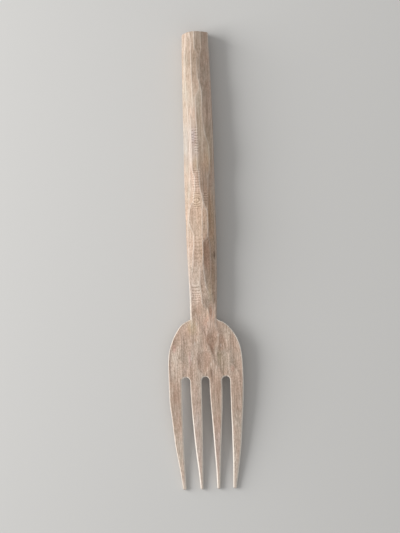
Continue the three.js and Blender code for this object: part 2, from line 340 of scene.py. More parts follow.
gougeCuts = [
    # the scallop beside the spine, with its long tail; its darker tone is partly painted shade in the
    # hollow
    carve(left=[(189, 4.2), (191, 3.8), (194.3, 2.9), (196.5, 2), (199, 1.15), (201.5, 0.85), (203, 1.1),
                (206, 2.6), (209, 4), (212, 4.8), (215, 5.4), (219, 6.3)],
          right=[(189, 6.2), (191, 7), (193, 7.9), (196, 8.7), (199, 9), (201.5, 8.9), (204, 8.1),
                 (206, 7.6), (209, 7.3), (213, 7.2), (219, 7.1)],
          deep=0.76, floor=0.7, rise=0.12, fade=7, rim=0.06, entry=14, tone=(0.89, 0.78, 0.73)),
    carve([(203, 2.6, 6.9), (206, 3.4, 6.9), (209, 4.4, 6.9), (212, 5.1, 7), (215, 5.8, 7.1),
           (219, 6.7, 7.3)], deep=0.34, floor=0.62, rise=1.0, rim=0.1, entry=5),
    # the middle one, straight on its left and slanting below; its darker tone is partly painted shade in
    # the hollow
    carve(left=[(207.6, -4.6), (209, -4.9), (212, -5.2), (216, -5.5), (218.6, -5.5), (221, -4.6),
                (224.5, -2)],
          right=[(207.6, 2.4), (209, 3.4), (212, 4.4), (214, 5), (216, 5.3), (218.5, 4.2), (224.5, -0.8)],
          deep=0.8, floor=0.38, rise=0.8, rim=0.03, tone=(0.92, 0.86, 0.83)),
    # the one above the right slot
    carve([(207.5, 7.8, 14.4), (210.5, 7.6, 15.2), (214, 7.6, 15.5), (217.5, 7.7, 15.2), (220, 8.7, 14.8),
           (222.5, 9.9, 14), (226, 11.2, 12.4)],
          deep=0.6, floor=0.34, rise=0.85, rim=0.03, entry=5, tone=(0.94, 0.97, 0.94)),
    # a short cut on the right of the head; its darker tone is partly painted shade in the hollow
    carve([(195, 9.8, 11.8), (200, 9.3, 13.8), (204, 9, 14.4), (206, 9.1, 14.4), (210, 10, 13.2)],
          deep=0.36, floor=0.7, rise=0.3, rim=0.03, entry=6, tone=(0.94, 0.86, 0.82)),
    # the tongue that runs down from the neck to a point
    carve([(184.5, -6.2, 3), (187, -5.6, 3.2), (190, -4.2, 3.1), (192.5, -3, 2.8), (194.7, -1.7, 2.3),
           (197, -0.5, 1.6), (200.5, 0.75, 1.05)], deep=0.42, floor=0.55, rim=0.12),
    carve([(188, -8.9, -6.8), (192, -9.1, -5), (198, -9.3, -2.6), (204, -9.3, -3.6), (209, -8.8, -6.6)],
          deep=0.22, floor=0.55),
    # flutes above the tines
    carve([(196, -14.6, -13.4), (201, -15.2, -11.6), (206, -15.5, -11.1), (213, -15.5, -10.9),
           (220, -15.4, -11.2), (227, -15.2, -12.6)], deep=0.34, floor=0.8, rise=0.4),
    carve([(203, -22.4, -19.4), (208, -23.2, -17), (214, -23.7, -16), (222, -23.6, -16), (230, -23, -18)],
          deep=0.42, floor=0.15, rise=1.0),
    carve([(196, -18.6, -17.2), (200, -20.4, -15.8), (205, -21.6, -16), (210, -21.8, -18.2)], deep=0.2),
    carve([(205, -10.4, -6.6), (210, -10.7, -5.6), (216, -10.8, -5.6), (222, -10.4, -5.2),
           (229, -9.6, -6.2)], deep=0.14, floor=0.35, rise=1.0),
    carve([(195, 16.4, 17.8), (200, 16.2, 20.6), (206, 16, 22.6), (212, 16, 23.7), (217.6, 16.7, 24.2),
           (221, 19.4, 24.4), (225.4, 22.4, 24.5), (231, 23.8, 24.5)], deep=0.36, floor=0.4, rise=0.6),
    carve([(218.5, 3, 6), (221.5, 3.4, 7.4), (226, 3.6, 7.8), (231, 4.2, 6.4)],
          deep=0.3, floor=0.25, rise=1.0),
]

# Shallow cuts on the back of the head
backCuts = [
    carve([(187, -6.5, -1), (193, -7, 0.5), (201, -6.2, 1.4), (209, -4, 1.2), (214, -1.5, -0.4)],
          deep=0.3),
    carve([(188, 1.2, 6), (194, 1.6, 8.2), (202, 2.6, 9.4), (210, 4, 9.6), (217, 6.2, 8.2)], deep=0.3),
    carve([(192, -14, -10.6), (198, -16.2, -8.6), (206, -16, -8), (215, -14.6, -8.6), (222, -12.8, -11.4)],
          deep=0.34, floor=0.45),
    carve([(196, 11, 15), (202, 10.6, 18), (210, 10.8, 18.8), (218, 11.4, 18.2), (225, 13.2, 15.6)],
          deep=0.34),
    carve([(201, -21, -18.4), (207, -22.6, -17), (215, -23.4, -16.6), (224, -23.4, -17),
           (234, -22.6, -19.4)], deep=0.28),
    carve([(208, -5, -3.2), (213, -7, -0.6), (219, -7.6, 0.6), (226, -7.2, -1.2), (233, -6.2, -4.4)],
          deep=0.28),
    carve([(206, 19.6, 21.2), (213, 19.4, 23.2), (221, 18.8, 23.6), (229, 18.6, 23.4), (238, 19.4, 21.6)],
          deep=0.24),
]

# How the handle runs into the head
join = {
    "spineIn": (184, 195),
    "wearAndHighlightOut": (188, 200),
    "faceRound": 0.5,
    "backIn": (188, 196),
    "backRound": 0.6,
}

# Eased edges round the head, the slots and the tines
easing = {
    "face": [(186, 0), (190, 0.45), (215, 0.55), (227, 0.62), (260, 0.72), (290, 0.8), (300, 0.55)],
    "back": [(186, 0), (190, 0.8), (227, 1), (285, 0.8), (300, 0.5)],
    "start": (-1, 1.5),  # where the easing of the face sets in, from the shoulder
    "backStart": (-1, 2),
    "lift": 3,  # how far off the surface it starts
    "round": 0.1,
    "backRound": 0.2,
    "rimFade": (0.8, 1.2),  # the pale rim, partly worn wood and partly painted highlight, fades out here, in widths of the easing
    "least": 0.05,  # the smallest width that counts
    # On the lit edges at the left the painted highlight of the rim is kept narrower and fainter
    "leftTrim": 0.4,  # narrower and less pale on edges at the left,
    "leftSpare": 0.5,
    "slotSpare": 0.75,  # though less so down the slots
    "slotRun": (235, 262),
    "pointWear": 0.45,  # the points of the tines are pale
    "pointLength": 14,
    "backWear": 0.45,
    "cloudStart": 1.5,  # points that stand for the outline when the nearest edge is looked for
    "cloudStep": 0.1,
    "rootPoints": 40,
    "touching": 0.02,  # nearer than this counts as on the edge
}


def outlineTree():  # the outline of the head and the slots as a cloud of points, with 1 on the slots
    step = easing["cloudStep"]
    along = np.arange(plan["shoulder"] - easing["cloudStart"], forkLength, step)
    cloud = [np.column_stack([edge, along, 0 * along]) for edge in outerEdges(along)]
    turn = np.linspace(0, np.pi / 2, easing["rootPoints"])
    for slot in plan["slots"]:
        root = plan["root"] + slot["radius"] * (1 - np.cos(turn))
        below = np.concatenate([root, np.arange(plan["root"] + slot["radius"], forkLength, step)])
        cloud += [np.column_stack([edge, below, 0 * below + 1]) for edge in slotEdges(slot, below)]
    cloud = np.concatenate(cloud)
    tree = kdtree.KDTree(len(cloud))
    for i, (x, s, _) in enumerate(cloud):
        tree.insert((x, s, 0), i)
    tree.balance()
    return tree, cloud[:, 2]


outline, onSlot = outlineTree()


def edgeDistance(x, along):  # with 1 where the near edge is on the left, and 1 where it is a slot's
    found = [outline.find((a, b, 0)) for a, b in zip(np.ravel(x), np.ravel(along))]
    distance = np.array([near[2] for near in found])
    toLeft = np.array([a - near[0].x for a, near in zip(np.ravel(x), found)])
    toLeft = np.clip(toLeft / np.maximum(distance, easing["touching"]), 0, 1)
    inSlot = np.array([onSlot[near[1]] for near in found])
    return [values.reshape(np.shape(x)) for values in (distance, toLeft, inSlot)]


def easedRim(away, ease):  # 1 on the eased edge and 0 inside it
    return 1 - easeStep(*easing["rimFade"], away / np.maximum(ease, easing["least"]))


def pointWear(along):
    return easing["pointWear"] * easeStep(forkLength - easing["pointLength"], forkLength, along)


def cutEnds(cut, along, runOut):  # a cut starts and stops gently along the fork
    start, stop = cut["left"][0][0], cut["left"][-1][0]
    return easeStep(0, cut["entry"], along - start) * easeStep(0, runOut, stop - along)


def gougeDepth(cut, x, along):  # how deep a cut is, and the faint pale line on its right rim, partly wear and partly painted highlight
    left, right = smoothThrough(cut["left"], along), smoothThrough(cut["right"], along)
    widest = max(b - a for (_, a), (_, b) in zip(cut["left"], cut["right"]))
    t = np.maximum(0, (x - left) / (right - left))
    floor = cut["floor"]
    falling = 1 - (1 - np.minimum(t, floor) / floor) ** 2
    rising = 1 - cut["rise"] * np.clip((t - floor) / (1 - floor), 0, 1) ** 2
    runOut = np.exp(-np.maximum(0, x - right) / cut["fade"])
    ends = cutEnds(cut, along, gouge["exit"])
    full = cut["deep"] * ends * np.minimum(1, (right - left) / widest) ** gouge["narrowing"]
    rim = cut["rim"] * ends * np.exp(-((x - right) / gouge["rimWidth"]) ** 2)
    return falling * rising * runOut * full, rim


def faceHeight(x, along):  # upper surface, with how pale each point is: worn wood, and painted highlights on ridges and rims
    height, wearAndHighlight = handleTop(x, along)
    blend = easeStep(*join["spineIn"], along)
    height = height * (1 - blend) + spineTop(x, along) * blend
    wearAndHighlight = wearAndHighlight * (1 - easeStep(*join["wearAndHighlightOut"], along))
    height = softMax(height, headTop(x, along), join["faceRound"])
    for cut in gougeCuts:
        depth, rim = gougeDepth(cut, x, along)
        height = height - depth
        wearAndHighlight = np.maximum(wearAndHighlight, rim)
    away, toLeft, inSlot = edgeDistance(x, along)
    toLeft = toLeft * (1 - easing["slotSpare"] * inSlot * easeStep(*easing["slotRun"], along))
    ease = smoothThrough(easing["face"], along) * (1 - easing["leftTrim"] * toLeft)
    first, full = easing["start"]
    onHead = easeStep(first, full, along - plan["shoulder"])
    trim = plateTop(x, along) - ease + away + easing["lift"] * (1 - onHead)
    eased = softMin(height, trim, easing["round"])
    height = np.where(along > plan["shoulder"] + first, eased, height)
    # pale eased rim: partly wear, partly painted highlight, spared on the lit left edges
    rim = onHead * easedRim(away, ease) * (1 - easing["leftSpare"] * toLeft)
    return height, np.maximum(np.maximum(wearAndHighlight, rim), pointWear(along))


def backHeight(x, along):  # lower surface, with how worn and pale each point is
    height = softMin(handleBottom(x, along), headBack(x, along), join["backRound"])
    blend = easeStep(*join["backIn"], along)
    height = height * (1 - blend) + headBack(x, along) * blend
    for cut in backCuts:
        height = height + gougeDepth(cut, x, along)[0]
    ease = smoothThrough(easing["back"], along)
    away = edgeDistance(x, along)[0]
    first, full = easing["backStart"]
    onHead = easeStep(first, full, along - plan["shoulder"])
    trim = headBack(x, along) + ease - away - easing["lift"] * (1 - onHead)
    eased = softMax(height, trim, easing["backRound"])
    height = np.where(along > plan["shoulder"] + first, eased, height)
    wearAndHighlight = easing["backWear"] * onHead * easedRim(away, ease)
    return np.maximum(0, height), np.maximum(wearAndHighlight, pointWear(along))


# The mesh: rows across the fork. A row on the handle and head is one loop; below the roots each tine
# has its own.
mesh = {
    "tineColumns": 31,
    "wallPoints": 4,
    "crowding": 0.1,  # columns gather at the edges
    "endRows": [0, 0.12, 0.3, 0.55, 0.9, 1.4, 2, 2.8],
    "handleRows": (3.7, 181, 1.1),  # from, to, step
    "neckRows": (181.5, 194, 0.36),
    "headStep": 0.55,
    "rootGap": 0.3,  # no row closer than this to the one at the roots
    "rootRows": 10,
    "shankGap": 0.6,
    "tineStep": 0.95,
    "tipGap": 2.2,
    "tipRows": 7,
    "tipTurn": 0.47,  # in half turns; the rows stop just short of the very point
    "tipFlat": 0.85,
    "gather": (-4, -1),  # columns move over to the slots, from the shoulder to the root
    "endEase": 0.7,  # knife-eased rim round the end of the handle
    "endNarrow": 0.045,
    "endThin": 0.09,
    "endLine": [(-9, 2.1), (-7, 1.25), (-4.5, 0.45), (-0.6, 0), (4, 0.25), (9, 0.75)],
    "endReach": 14,  # the slant of the end dies away over this length
    "sharpAngle": 48,
}
tineCount = len(plan["slots"]) + 1

columnShare = np.linspace(0, 1, mesh["tineColumns"])
columnShare = columnShare - mesh["crowding"] * np.sin(2 * np.pi * columnShare)


def spread(marks):  # columns between neighbouring marks: left edge, slots, right edge
    groups = [a + (b - a) * columnShare for a, b in zip(marks, marks[1:])]
    return np.concatenate([groups[0]] + [group[1:] for group in groups[1:]])


def bodyRows():
    handle = np.arange(*mesh["handleRows"])
    neck = np.arange(*mesh["neckRows"])
    head = np.arange(neck[-1] + mesh["headStep"], plan["root"] - mesh["rootGap"], mesh["headStep"])
    return np.concatenate([mesh["endRows"], handle, neck, head, [plan["root"]]])


def tineRows():
    radius = plan["slots"][0]["radius"]
    turn = np.linspace(0, np.pi / 2, mesh["rootRows"] + 1)[1:]
    root = plan["root"] + radius * (1 - np.cos(turn))
    shank = np.arange(root[-1] + mesh["shankGap"], forkLength - mesh["tipGap"], mesh["tineStep"])
    tipTurn = np.linspace(0, mesh["tipTurn"] * np.pi, mesh["tipRows"])
    tip = forkLength - plan["tipRound"] * (1 - np.sin(tipTurn))
    return np.concatenate([root, shank, tip])


points = []
wearAndHighlightValues = []
faces = []


def addPoints(x, along, z, wearAndHighlight):
    first = len(points)
    wearAndHighlight = np.broadcast_to(wearAndHighlight, np.shape(x))
    for values in zip(x, np.broadcast_to(along, np.shape(x)), z, wearAndHighlight):
        points.append((values[0], endY - values[1], values[2]))
        wearAndHighlightValues.append(values[3])
    return list(range(first, len(points)))


def addWall(top, bottom):  # points of a side wall, from the upper edge down
    share = np.arange(1, mesh["wallPoints"] + 1) / (mesh["wallPoints"] + 1)
    a, b = np.array(points[top]), np.array(points[bottom])
    wall = a + (b - a) * share[:, None]
    along = endY - wall[:, 1]
    return addPoints(wall[:, 0], along, wall[:, 2], pointWear(along))


def addRow(x, along, shrink=1.0):
    top, wearAndHighlight = faceHeight(x, along)
    bottom, backWear = backHeight(x, along)
    middle = (top + bottom) / 2
    topIds = addPoints(x, along, middle + (top - middle) * shrink, wearAndHighlight)
    bottomIds = addPoints(x, along, middle + (bottom - middle) * shrink, backWear)
    return topIds, bottomIds


def loopOf(topIds, rightIds, bottomIds, leftIds):
    return topIds + rightIds + bottomIds[::-1] + leftIds[::-1]


def joinLoops(before, after):
    count = len(before)
    for i in range(count):
        j = (i + 1) % count
        faces.append((before[i], after[i], after[j], before[j]))


def closeEnd(topIds, rightIds, bottomIds, leftIds, outward):  # a grid of faces over an open end
    rows = [topIds]
    for level, (left, right) in enumerate(zip(leftIds, rightIds)):
        share = (level + 1) / (mesh["wallPoints"] + 1)
        a = np.array([points[i] for i in topIds[1:-1]])
        b = np.array([points[i] for i in bottomIds[1:-1]])
        inner = a + (b - a) * share
        along = endY - inner[:, 1]
        rows.append([left] + addPoints(inner[:, 0], along, inner[:, 2], pointWear(along)) + [right])
    rows.append(bottomIds)
    for upper, lower in zip(rows, rows[1:]):
        for i in range(len(upper) - 1):
            quad = (upper[i], upper[i + 1], lower[i + 1], lower[i])
            faces.append(quad if outward > 0 else quad[::-1])


def rowMarks(along):  # left edge, slots and right edge of a row
    left, right = outerEdges(along)
    first, last = mesh["gather"]
    toHead = easeStep(plan["shoulder"] + first, plan["root"] + last, along)
    marks = [left]
    for number, slot in enumerate(plan["slots"]):
        plain = left + (right - left) * (number + 1) / tineCount
        marks.append(plain + (slot["centre"] - plain) * toHead)
    return marks + [right]


print("carving the handle and the head")
previous = None
for row in bodyRows():
    atEnd = 1 - min(1, row / mesh["endEase"])
    x = spread(rowMarks(row)) * (1 - mesh["endNarrow"] * atEnd)
    shear = smoothThrough(mesh["endLine"], x) * max(0, 1 - row / mesh["endReach"])
    topIds, bottomIds = addRow(x, row + shear, 1 - mesh["endThin"] * atEnd)
    leftIds = addWall(topIds[0], bottomIds[0])
    rightIds = addWall(topIds[-1], bottomIds[-1])
    loop = loopOf(topIds, rightIds, bottomIds, leftIds)
    if previous is None:
        closeEnd(topIds, rightIds, bottomIds, leftIds, 1)
    else:
        joinLoops(previous, loop)
    previous = loop

print("carving the tines")
perTine = mesh["tineColumns"] - 1
slotWalls = [addWall(topIds[k * perTine], bottomIds[k * perTine]) for k in range(1, tineCount)]
lefts = [leftIds] + slotWalls
rights = slotWalls + [rightIds]
rootLoops = []
for tine in range(tineCount):
    span = slice(tine * perTine, (tine + 1) * perTine + 1)
    rootLoops.append(loopOf(topIds[span], rights[tine], bottomIds[span], lefts[tine]))

for tine, previous in enumerate(rootLoops):
    for row in tineRows():
        outerLeft, outerRight = outerEdges(row)
        slotSides = [slotEdges(slot, row) for slot in plan["slots"]]
        left = outerLeft if tine == 0 else slotSides[tine - 1][1]
        right = outerRight if tine == tineCount - 1 else slotSides[tine][0]
        past = max(0, (row - (forkLength - plan["tipRound"])) / plan["tipRound"])
        narrow = math.sqrt(max(0, 1 - mesh["tipFlat"] * past ** 2))
        centre, half = (left + right) / 2, (right - left) / 2 * narrow
        x = centre - half + 2 * half * columnShare
        tops, bottoms = addRow(x, np.full(len(x), row), narrow)
        leftWall = addWall(tops[0], bottoms[0])
        rightWall = addWall(tops[-1], bottoms[-1])
        loop = loopOf(tops, rightWall, bottoms, leftWall)
        joinLoops(previous, loop)
        previous = loop
    closeEnd(tops, rightWall, bottoms, leftWall, -1)


# Patches where the wood is darker, redder, yellower or paler, as a factor on its red, green and blue; a
# few thin pale lines along handle ridges are painted highlights
def stain(x, along, halfWide, halfLong, colour, crisp=1.6):
    return {"place": (x, along, halfWide, halfLong), "colour": colour, "crisp": crisp}


stains = [
    # on the handle
    # thin pale line along a ridge: painted highlight
    stain(3.6, 8, 0.4, 9, (1.16, 1.16, 1.13)),
    stain(-1.2, 10, 5.5, 14, (0.88, 0.9, 0.88)),
    stain(-3.2, 14, 1.2, 13, (1.08, 1.05, 1.06)),
    stain(-4, 30, 5.5, 18, (0.94, 0.98, 0.96)),
    stain(4.2, 54, 1.4, 15, (1.08, 1.12, 1.12)),
    stain(1.2, 62, 1.9, 22, (0.87, 0.93, 0.91)),
    # thin pale line along a ridge: painted highlight
    stain(2.8, 66, 0.5, 28, (1.15, 1.15, 1.13)),
    stain(-3, 68, 1.6, 5, (0.92, 0.92, 0.99)),
    stain(-8, 70, 2.4, 62, (0.95, 1.02, 1.04)),
    stain(-6.6, 74, 4.4, 13, (0.97, 1.05, 1.14)),
    stain(-1.6, 74, 2.6, 12, (0.94, 0.98, 1.02)),
    stain(6.3, 76, 2.5, 15, (0.9, 0.9, 0.84)),
    stain(4, 86, 3.5, 7, (0.96, 0.94, 0.88)),
    stain(-2.2, 86.5, 2.2, 4.5, (0.98, 0.98, 0.9)),
    stain(2.3, 100, 2, 10, (0.83, 0.79, 0.75)),
    stain(-7.6, 110, 2.4, 9, (0.91, 0.9, 0.88)),
    stain(-2.5, 110, 2.6, 5, (1, 1, 0.94)),
    stain(5.4, 113, 1.3, 14, (0.84, 0.77, 0.69)),
    stain(6.9, 121, 1.8, 17, (1.2, 1.2, 1.17)),
    stain(5.3, 121, 1.2, 13, (0.88, 0.83, 0.78)),
    stain(0.4, 122, 3.2, 14, (1.05, 1.04, 1.02)),
    stain(0, 126, 12, 22, (0.97, 0.93, 0.88)),
    stain(6.3, 135, 0.9, 2.5, (1.2, 1.2, 1.2)),
    stain(7.6, 138, 2.2, 27, (0.85, 0.81, 0.76)),
    stain(8.5, 142, 0.8, 6, (0.82, 0.8, 0.78)),
    # thin pale line along two close ridges: painted highlight
    stain(0.2, 144, 0.8, 9, (1.22, 1.23, 1.22)),
    stain(2.7, 146, 2.9, 10, (0.84, 0.7, 0.64)),
    stain(-1.2, 146, 2.6, 9, (1.08, 1.05, 1.02)),
    stain(8, 146.2, 0.7, 2.3, (0.5, 0.45, 0.42)),
    stain(-4.6, 159, 3.2, 9, (1.02, 1.05, 1.07)),
    stain(-3.4, 160, 1.6, 6, (0.88, 0.88, 0.86)),
    stain(5.3, 162, 2.8, 10, (0.92, 0.89, 0.83)),
    stain(-8, 168, 1.6, 11, (0.81, 0.83, 0.86)),
    stain(-1, 168.5, 1.3, 6, (0.88, 0.87, 0.85)),
    stain(1.8, 169, 1.6, 5, (1.11, 1.11, 1.11)),
    stain(-4.4, 170, 2.8, 9, (1, 1.05, 1.08)),
    stain(4.5, 171.5, 1.3, 6, (1.1, 1.12, 1.05)),
    stain(6.9, 174.5, 1.3, 4.5, (0.8, 0.78, 0.74)),
    stain(3.6, 181, 3.4, 8, (1.07, 1.07, 1.07)),
    stain(-5.8, 182.6, 1.2, 2.2, (0.95, 0.94, 0.93)),
    stain(6.7, 184, 1.2, 5, (1.1, 1.1, 1.09)),
    stain(4.6, 184, 1.7, 5.5, (0.98, 0.86, 0.81)),
    stain(2.5, 184.5, 0.7, 4.5, (1.14, 1.14, 1.12)),
    stain(-1.9, 185.5, 5, 7.4, (1.07, 1.04, 1.02), 4),
    # on the head
    stain(3.8, 190, 2.2, 5, (1.1, 1.07, 1.07)),
    stain(0, 192.5, 2.8, 7, (1.05, 0.98, 0.98)),
    stain(-8.2, 193.5, 3.4, 5, (1, 0.98, 0.86)),
    stain(15.6, 198, 2.2, 5, (1.08, 1.14, 1.15)),
    stain(-4.9, 200.5, 0.7, 3.5, (1.14, 1.14, 1.12)),
    stain(-12, 204.5, 1.3, 2, (0.9, 0.9, 0.9)),
    stain(-2.8, 204.8, 2, 1.6, (0.87, 0.86, 0.86)),
    stain(20, 207, 1.8, 5, (1.12, 1.13, 1.14)),
    stain(-20.3, 207, 1.3, 2.6, (0.98, 0.84, 0.84)),
    stain(4, 207, 1.6, 2.4, (0.84, 0.79, 0.76)),
    stain(-0.6, 207.3, 1.9, 2, (1.12, 1.12, 1.12)),
    stain(-6.2, 208.5, 1.2, 2.5, (1.13, 1.15, 1.17)),
    stain(0.4, 211, 2.4, 5, (1.09, 1.07, 1.08)),
    stain(-7.8, 211, 2.2, 8, (1.1, 1.15, 1.19)),
    stain(9, 212.6, 1.5, 4.4, (0.89, 0.9, 0.84)),
    stain(-10.2, 214, 0.9, 5, (1.03, 0.93, 0.98)),
    stain(12.2, 214, 2.4, 8, (0.98, 1.04, 1.08)),
    stain(16.2, 214, 2, 6, (1.06, 1.09, 1.1)),
    stain(-20.6, 216, 3, 8, (1.18, 1.24, 1.29)),
    stain(17.8, 216.6, 0.7, 1.5, (0.75, 0.73, 0.72)),
    stain(-21.6, 217, 1.5, 6, (1.12, 1.12, 1.12)),
    stain(-4.3, 219, 1.1, 2.8, (1.16, 1.16, 1.16)),
    stain(17.5, 221, 1.3, 2.4, (1.05, 0.95, 0.95)),
    stain(-13.4, 221.5, 1.3, 2.2, (0.85, 0.85, 0.86)),
    stain(3.7, 223.3, 0.5, 1.9, (0.72, 0.68, 0.66)),
    stain(19.4, 224, 2, 4, (1.22, 1.25, 1.27)),
    # on the tines
    stain(-6.6, 238, 3, 4, (1.1, 1.12, 1.14)),
    stain(-20.6, 245, 4, 15, (0.9, 0.88, 0.87)),
    stain(-6.4, 245, 3.4, 16, (1.02, 1.04, 1.07)),
    stain(-6.5, 271, 4, 22, (1.07, 1.15, 1.25)),
    stain(-19.5, 272, 4, 20, (1.05, 1.1, 1.13)),
    stain(19, 272, 4.5, 22, (1.16, 1.25, 1.31)),
    stain(6.5, 274, 4, 16, (1.06, 1.09, 1.19)),
    stain(-18.2, 284, 3, 8, (1.05, 1.09, 1.1)),
]

# Small pale splinters that the gouge lifted, (x, along)
splinters = {
    "places": [
        (-4.8, 199.6), (-4.7, 202.8), (-6.7, 203.9), (10.3, 205.4), (5.1, 215.9), (3.4, 217.6),
        (7, 219.8), (2.3, 190.6), (-5, 191), (-9.4, 213.8), (8.7, 198.6)],
    "halfWide": 0.34,
    "halfLong": 1.1,
    "wearAndHighlight": 0.5,
}

# Cross marks where the blade chattered: the patch across, how far the marks bow, their strength, and
# their places along the fork
chatterMarks = [
    {"x": (-4.3, -2.8), "bow": 0, "depth": 1.1, "lines": [63, 65, 67.4, 69.3, 70.9, 72.6, 74.6]},
    {"x": (-2.6, 0), "bow": 0, "depth": 1.35,
     "lines": [63, 64.8, 66.4, 68.2, 70, 71.6, 73.1, 74.9, 76.6, 78.1, 80]},
    {"x": (-4.6, 0.4), "bow": 0.04, "depth": 1,
     "lines": [89.5, 91, 92.5, 94, 95.4, 97, 98.6, 100, 101.8, 103.6]},
    {"x": (2, 5.2), "bow": 0.1, "depth": 1.2, "lines": [104.5, 106, 107.6, 109, 110.6, 112.4]},
    {"x": (-4.6, 0.2), "bow": 0, "depth": 0.5,
     "lines": [133, 136, 138, 140.4, 143, 145, 148, 150.4, 153]},
    {"x": (-7.6, -2), "bow": 0.05, "depth": 1.1,
     "lines": [164.6, 167.2, 169.4, 171.2, 172.6, 174, 175.6, 177]},
]
chatterEdges = {
    "across": (0.3, 0.4),  # a patch starts this far outside its edges and is full this far inside
    "lengthwise": (1, 1.5),
    "plainPitch": 2,
}

# An eye in the grain, where the knife opened a swelling of the growth rings
grainEye = {
    "x": -2.6,
    "along": 110.2,
    "squeeze": 0.65,  # the rings are wider than they are long
    "ringGap": 1.4,
    "halfWide": 2.7,
    "halfLong": 5.6,
    "crisp": 6,
    "light": 0.2,  # how much the rings lighten and darken the wood
    "dark": -0.42,
    "waver": 1.2,
}
faceAbove = 8.5  # splinters, chatter and the eye are on the upper side only

print("colouring the surface")
placed = np.array(points)
placedX = placed[:, 0]
placedAlong = endY - placed[:, 1]
upper = placed[:, 2] > faceAbove


def fromMiddle(x, along, halfWide, halfLong):  # how far all points lie from the middle of a patch
    return (placedX - x) / halfWide, (placedAlong - along) / halfLong


def between(start, stop, edge, at):  # 1 inside a run, and easing to 0 at both ends of it
    outer, inner = edge
    return easeStep(start - outer, start + inner, at) * (1 - easeStep(stop - inner, stop + outer, at))


tint = np.ones((len(points), 4))
for patch in stains:
    across, lengthwise = fromMiddle(*patch["place"])
    share = np.exp(-(across ** 2 + lengthwise ** 2) ** patch["crisp"])[:, None]
    tint[:, :3] *= 1 + (np.array(patch["colour"]) - 1) * share
# darker tone inside the cuts: partly the wood's colour, partly painted shade in the hollows
for cut in gougeCuts:
    if "tone" in cut:
        left, right = smoothThrough(cut["left"], placedAlong), smoothThrough(cut["right"], placedAlong)
        inside = easeStep(*gouge["toneLeft"], placedX - left)
        inside = inside * easeStep(*gouge["toneRight"], right - placedX)
        inside = inside * cutEnds(cut, placedAlong, gouge["toneExit"])
        tint[:, :3] *= 1 + (np.array(cut["tone"]) - 1) * inside[:, None]

wearAndHighlightValues = np.array(wearAndHighlightValues)
for x, along in splinters["places"]:
    across, lengthwise = fromMiddle(x, along, splinters["halfWide"], splinters["halfLong"])
    pale = splinters["wearAndHighlight"] * np.exp(-across ** 2 - lengthwise ** 2)
    wearAndHighlightValues = np.where(upper, np.maximum(wearAndHighlightValues, pale), wearAndHighlightValues)

chatter = np.zeros(len(points))
chatterTurns = placedAlong / chatterEdges["plainPitch"]
for marks in chatterMarks:
    left, right = marks["x"]
    lines = marks["lines"]
    inside = between(left, right, chatterEdges["across"], placedX)
    inside = inside * between(lines[0], lines[-1], chatterEdges["lengthwise"], placedAlong)
    bowed = placedAlong + marks["bow"] * (placedX - (left + right) / 2) ** 2
    marked = upper & (inside > 0)
    chatterTurns = np.where(marked, np.interp(bowed, lines, np.arange(len(lines))), chatterTurns)
    chatter = np.where(marked, inside * marks["depth"], chatter)

across, lengthwise = fromMiddle(*[grainEye[name] for name in ("x", "along", "halfWide", "halfLong")])
inEye = np.where(upper, np.exp(-across ** grainEye["crisp"] - lengthwise ** grainEye["crisp"]), 0)

carved = bpy.data.meshes.new("carvedFork")
carved.from_pydata([tuple(np.array(p) * mm) for p in points], [], faces)
carved.validate()
carved.polygons.foreach_set("use_smooth", [True] * len(carved.polygons))
carved.set_sharp_from_angle(angle=math.radians(mesh["sharpAngle"]))
layers = {
    "wearAndHighlight": np.clip(wearAndHighlightValues, 0, 1), "chatter": chatter, "chatterTurns": chatterTurns, "inEye": inEye}
for name, values in layers.items():
    carved.attributes.new(name, "FLOAT", "POINT").data.foreach_set("value", values.astype(np.float32))
tintLayer = carved.attributes.new("tint", "FLOAT_COLOR", "POINT")
tintLayer.data.foreach_set("color", tint.astype(np.float32).ravel())
forkPiece = addObject("carvedForkSurface", carved)
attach(forkPiece, "root")
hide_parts("carved_fork")
print("fork mesh:", len(points), "points,", len(faces), "faces")


# Wood: pale pinkish fruitwood, cut along the grain. Noise scales are per millimetre.
wood = {
    "bands": [
        (0.33, (0.46, 0.345, 0.27, 1)), (0.5, (0.49, 0.372, 0.294, 1)), (0.68, (0.52, 0.4, 0.32, 1))],
    "hues": [(0.35, (1.01, 0.945, 0.915, 1)), (0.65, (0.98, 1.0, 1.0, 1))],
    "grain": {  # scale, detail and offset of each noise
        "bands": ((0.38, 0.007, 0.3), 3, (0, 0, 0)),
        "streaks": ((1.7, 0.05, 1.7), 2, (7, 3, 1)),
        "fibres": ((4.5, 0.07, 4.5), 2, (2, 9, 4)),
        "mottle": ((0.16, 0.07, 0.16), 2, (5, 1, 8)),
        "flakes": ((0.7, 0.14, 0.7), 2, (4, 2, 6)),
        "speckle": ((1.0, 0.5, 1.0), 2, (3, 6, 2)),
        "flecks": ((2.2, 0.85, 2.2), 1, (8, 5, 3)),
    },
    "grainRough": 0.55,
    "drift": (0.03, 0.014, 0.03),  # a slow noise that lets the grain wander,
    "driftDetail": 2,
    "driftBy": (9, 0, 9),  # and how far
    "shares": {"fibres": 0.3, "flakes": 0.4, "speckle": 0.4},
    "streakShare": (-50, -30, 1.4, 1.15),  # from y, to y, and the share at each
    "fleckShare": (-95, -75, 0.7, 1.2),
    "gripFlecks": (30, 65, 1.0, 0.45),
    "tonePowers": (0.9, 1.0, 1.12),  # light streaks are creamy, dark ones brown
    "waver": 5.0,  # how unsteady the chatter marks and the eye's rings are
    "markFrom": -0.2,  # where on its wave a mark sets in
    "markDark": 0.42,
    "markLift": 0.16,
    # pale colour for worn wood and for the painted highlights on ridges and rims
    "wornAndHighlightColour": (0.85, 0.79, 0.71, 1),
    "wearAndHighlightShare": 0.9,
    "wearAndHighlightPatches": 0.8,
    "gloss": 0.3,
    "rough": 0.72,
    "streakRough": -0.25,
    "bump": {"fibres": 0.5, "speckle": 0.4, "marks": -0.4},
    "bumpStrength": 0.5,
    "bumpDistance": 0.0002,
}


